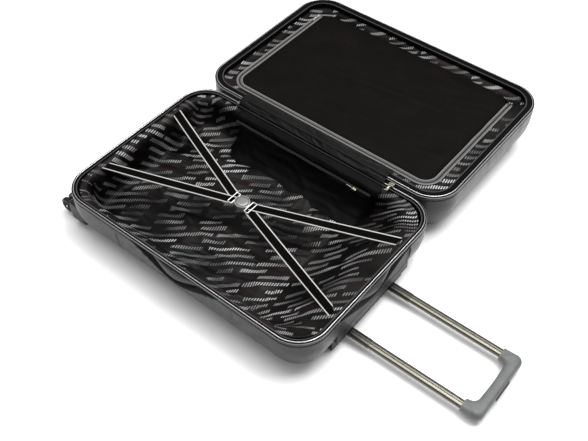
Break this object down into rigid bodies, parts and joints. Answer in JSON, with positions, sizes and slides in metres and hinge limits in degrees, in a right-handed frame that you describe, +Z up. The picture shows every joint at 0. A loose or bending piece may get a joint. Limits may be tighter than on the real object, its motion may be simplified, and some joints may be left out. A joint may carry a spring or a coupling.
{
  "type": "hard shell suitcase on wheels",
  "caption": "Hard shell suitcase lying open: two domed halves on a fabric hinge, cross straps with a buckle, zipped divider, telescopic pull handle, carry handles and twin-wheel casters.",
  "frame": {"origin": "middle of the base half's flat underside, where it rests on the floor", "axes": "+X along the length towards the trolley handle end, +Y from the base half across the hinge to the lid half, +Z up out of the open halves"},
  "size_m": [1.0687, 0.9685, 0.1448],
  "materials": {
    "shell": "fine-textured charcoal silver",
    "piping": "bright silver",
    "zip_tape": "black woven tape",
    "zip_coil": "dark grey teeth",
    "lining": "black woven lining with pale hatched bars",
    "satin": "black satin",
    "panel": "near-black brown cloth",
    "panel_zip": "pale grey zip tape",
    "webbing": "dark brown webbing with pale edges",
    "buckle_metal": "silver plated",
    "brass": "pale gold",
    "tube_light": "champagne anodised",
    "tube_dark": "darker anodised",
    "grip_plastic": "mid grey, satin",
    "handle_plastic": "grey, soft sheen",
    "housing_plastic": "grey",
    "black_plastic": "black, fine grain",
    "wheel": "black"
  },
  "bodies": {
    "base": {"base_shell": "shell", "base_rim_piping": "piping", "base_zip_tape": "zip_tape", "base_zip_coil": "zip_coil", "base_lining": "lining", "hinge_gusset": "satin", "base_wall_pocket": "satin", "base_pocket_zip": "zip_coil", "strap_left_far": "webbing", "strap_left_near": "webbing", "strap_right_far": "webbing", "strap_right_near": "webbing", "buckle_body": "buckle_metal", "buckle_ring_left": "buckle_metal", "handle_end_housing": "housing_plastic", "trolley_foot": "black_plastic", "trolley_outer_tube_left": "tube_light", "trolley_outer_tube_right": "tube_light", "side_handle_cup": "black_plastic", "base_caster_near_housing": "black_plastic", "base_caster_far_housing": "black_plastic"},
    "lid": {"lid_shell": "shell", "lid_rim_piping": "piping", "lid_zip_tape": "zip_tape", "lid_zip_coil": "zip_coil", "lid_lining": "lining", "lid_border": "lining", "divider_zip": "panel_zip", "lid_caster_near_housing": "black_plastic", "lid_caster_far_housing": "black_plastic"},
    "divider_panel": {"divider_panel": "panel"},
    "trolley_mid": {"trolley_mid_tube_left": "tube_dark", "trolley_mid_tube_right": "tube_dark"},
    "trolley_handle": {"trolley_inner_tube_left": "tube_light", "trolley_inner_tube_right": "tube_light", "trolley_grip": "grip_plastic"},
    "trolley_button": {"trolley_button": "black_plastic"},
    "side_carry_handle": {"side_carry_handle": "handle_plastic"},
    "top_carry_handle": {"top_carry_handle": "handle_plastic"},
    "base_pocket_slider": {"base_pocket_slider": "brass"},
    "base_pocket_pull": {"base_pocket_pull": "brass"},
    "main_zip_slider": {"main_zip_slider": "brass"},
    "main_zip_pull": {"main_zip_pull": "brass"},
    "divider_zip_slider": {"divider_zip_slider": "brass"},
    "divider_zip_pull": {"divider_zip_pull": "brass"},
    "buckle_button": {"buckle_button": "buckle_metal"},
    "buckle_ring_right": {"buckle_ring_right": "buckle_metal"},
    "base_caster_near_fork": {"base_caster_near_fork": "black_plastic"},
    "base_caster_near_wheel_a": {"base_caster_near_wheel_a": "wheel"},
    "base_caster_near_wheel_b": {"base_caster_near_wheel_b": "wheel"},
    "base_caster_far_fork": {"base_caster_far_fork": "black_plastic"},
    "base_caster_far_wheel_a": {"base_caster_far_wheel_a": "wheel"},
    "base_caster_far_wheel_b": {"base_caster_far_wheel_b": "wheel"},
    "lid_caster_near_fork": {"lid_caster_near_fork": "black_plastic"},
    "lid_caster_near_wheel_a": {"lid_caster_near_wheel_a": "wheel"},
    "lid_caster_near_wheel_b": {"lid_caster_near_wheel_b": "wheel"},
    "lid_caster_far_fork": {"lid_caster_far_fork": "black_plastic"},
    "lid_caster_far_wheel_a": {"lid_caster_far_wheel_a": "wheel"},
    "lid_caster_far_wheel_b": {"lid_caster_far_wheel_b": "wheel"}
  },
  "joints": [
    {"name": "lid_hinge", "type": "hinge", "parent": "base", "child": "lid", "pos_m": [0, 0.24, 0.141], "axis": [1, 0, 0], "range_deg": [0, 180], "deforming": ["hinge_gusset"]},
    {"name": "divider_panel_hinge", "type": "hinge", "parent": "lid", "child": "divider_panel", "pos_m": [0, 0.668, 0.1288], "axis": [1, 0, 0], "range_deg": [-110, 0]},
    {"name": "trolley_mid_slide", "type": "slide", "parent": "base", "child": "trolley_mid", "axis": [1, 0, 0], "range_m": [-0.092, 0.15]},
    {"name": "trolley_handle_slide", "type": "slide", "parent": "trolley_mid", "child": "trolley_handle", "axis": [1, 0, 0], "range_m": [-0.22, 0]},
    {"name": "trolley_button_press", "type": "slide", "parent": "trolley_handle", "child": "trolley_button", "axis": [-1, 0, 0], "range_m": [0, 0.002], "stiffness_N_per_m": 200, "springref_m": -0.001},
    {"name": "side_carry_handle_pull", "type": "slide", "parent": "base", "child": "side_carry_handle", "axis": [0, -1, 0], "range_m": [0, 0.008]},
    {"name": "top_carry_handle_pull", "type": "slide", "parent": "base", "child": "top_carry_handle", "axis": [1, 0, 0], "range_m": [0, 0.008]},
    {"name": "base_pocket_zip_slide", "type": "slide", "parent": "base", "child": "base_pocket_slider", "axis": [1, 0, 0], "range_m": [-0.345, 0.03]},
    {"name": "base_pocket_pull_hinge", "type": "hinge", "parent": "base_pocket_slider", "child": "base_pocket_pull", "pos_m": [0.1509, 0.1892, 0.114], "axis": [0, 0, 1], "range_deg": [0, 100]},
    {"name": "main_zip_slide", "type": "slide", "parent": "base", "child": "main_zip_slider", "axis": [1, 0, 0], "range_m": [0, 0.04]},
    {"name": "main_zip_pull_hinge", "type": "hinge", "parent": "main_zip_slider", "child": "main_zip_pull", "pos_m": [0.2265, 0.2297, 0.1362], "axis": [1, 0, 0], "range_deg": [-110, 0]},
    {"name": "divider_zip_slide", "type": "slide", "parent": "lid", "child": "divider_zip_slider", "axis": [0, -1, 0], "range_m": [0, 0.3]},
    {"name": "divider_zip_pull_hinge", "type": "hinge", "parent": "divider_zip_slider", "child": "divider_zip_pull", "pos_m": [-0.295, 0.6359, 0.1312], "axis": [1, 0, 0], "range_deg": [-110, 0]},
    {"name": "buckle_button_press", "type": "slide", "parent": "base", "child": "buckle_button", "axis": [0, 0, -1], "range_m": [0, 0.002], "stiffness_N_per_m": 200, "springref_m": -0.001},
    {"name": "buckle_ring_release", "type": "slide", "parent": "base", "child": "buckle_ring_right", "axis": [1, 0, 0], "range_m": [0, 0.014]},
    {"name": "base_caster_near_swivel", "type": "hinge", "parent": "base", "child": "base_caster_near_fork", "pos_m": [-0.3505, -0.198, 0.05], "axis": [1, 0, 0], "continuous": true},
    {"name": "base_caster_near_wheel_a_spin", "type": "hinge", "parent": "base_caster_near_fork", "child": "base_caster_near_wheel_a", "pos_m": [-0.3785, -0.2078, 0.032], "axis": [0, 1, 0], "continuous": true},
    {"name": "base_caster_near_wheel_b_spin", "type": "hinge", "parent": "base_caster_near_fork", "child": "base_caster_near_wheel_b", "pos_m": [-0.3785, -0.1882, 0.032], "axis": [0, 1, 0], "continuous": true},
    {"name": "base_caster_far_swivel", "type": "hinge", "parent": "base", "child": "base_caster_far_fork", "pos_m": [-0.3505, 0.198, 0.05], "axis": [1, 0, 0], "continuous": true},
    {"name": "base_caster_far_wheel_a_spin", "type": "hinge", "parent": "base_caster_far_fork", "child": "base_caster_far_wheel_a", "pos_m": [-0.3785, 0.1882, 0.032], "axis": [0, 1, 0], "continuous": true},
    {"name": "base_caster_far_wheel_b_spin", "type": "hinge", "parent": "base_caster_far_fork", "child": "base_caster_far_wheel_b", "pos_m": [-0.3785, 0.2078, 0.032], "axis": [0, 1, 0], "continuous": true},
    {"name": "lid_caster_near_swivel", "type": "hinge", "parent": "lid", "child": "lid_caster_near_fork", "pos_m": [-0.3505, 0.282, 0.05], "axis": [1, 0, 0], "continuous": true},
    {"name": "lid_caster_near_wheel_a_spin", "type": "hinge", "parent": "lid_caster_near_fork", "child": "lid_caster_near_wheel_a", "pos_m": [-0.3785, 0.2722, 0.032], "axis": [0, 1, 0], "continuous": true},
    {"name": "lid_caster_near_wheel_b_spin", "type": "hinge", "parent": "lid_caster_near_fork", "child": "lid_caster_near_wheel_b", "pos_m": [-0.3785, 0.2918, 0.032], "axis": [0, 1, 0], "continuous": true},
    {"name": "lid_caster_far_swivel", "type": "hinge", "parent": "lid", "child": "lid_caster_far_fork", "pos_m": [-0.3505, 0.678, 0.05], "axis": [1, 0, 0], "continuous": true},
    {"name": "lid_caster_far_wheel_a_spin", "type": "hinge", "parent": "lid_caster_far_fork", "child": "lid_caster_far_wheel_a", "pos_m": [-0.3785, 0.6682, 0.032], "axis": [0, 1, 0], "continuous": true},
    {"name": "lid_caster_far_wheel_b_spin", "type": "hinge", "parent": "lid_caster_far_fork", "child": "lid_caster_far_wheel_b", "pos_m": [-0.3785, 0.6878, 0.032], "axis": [0, 1, 0], "continuous": true}
  ]
}
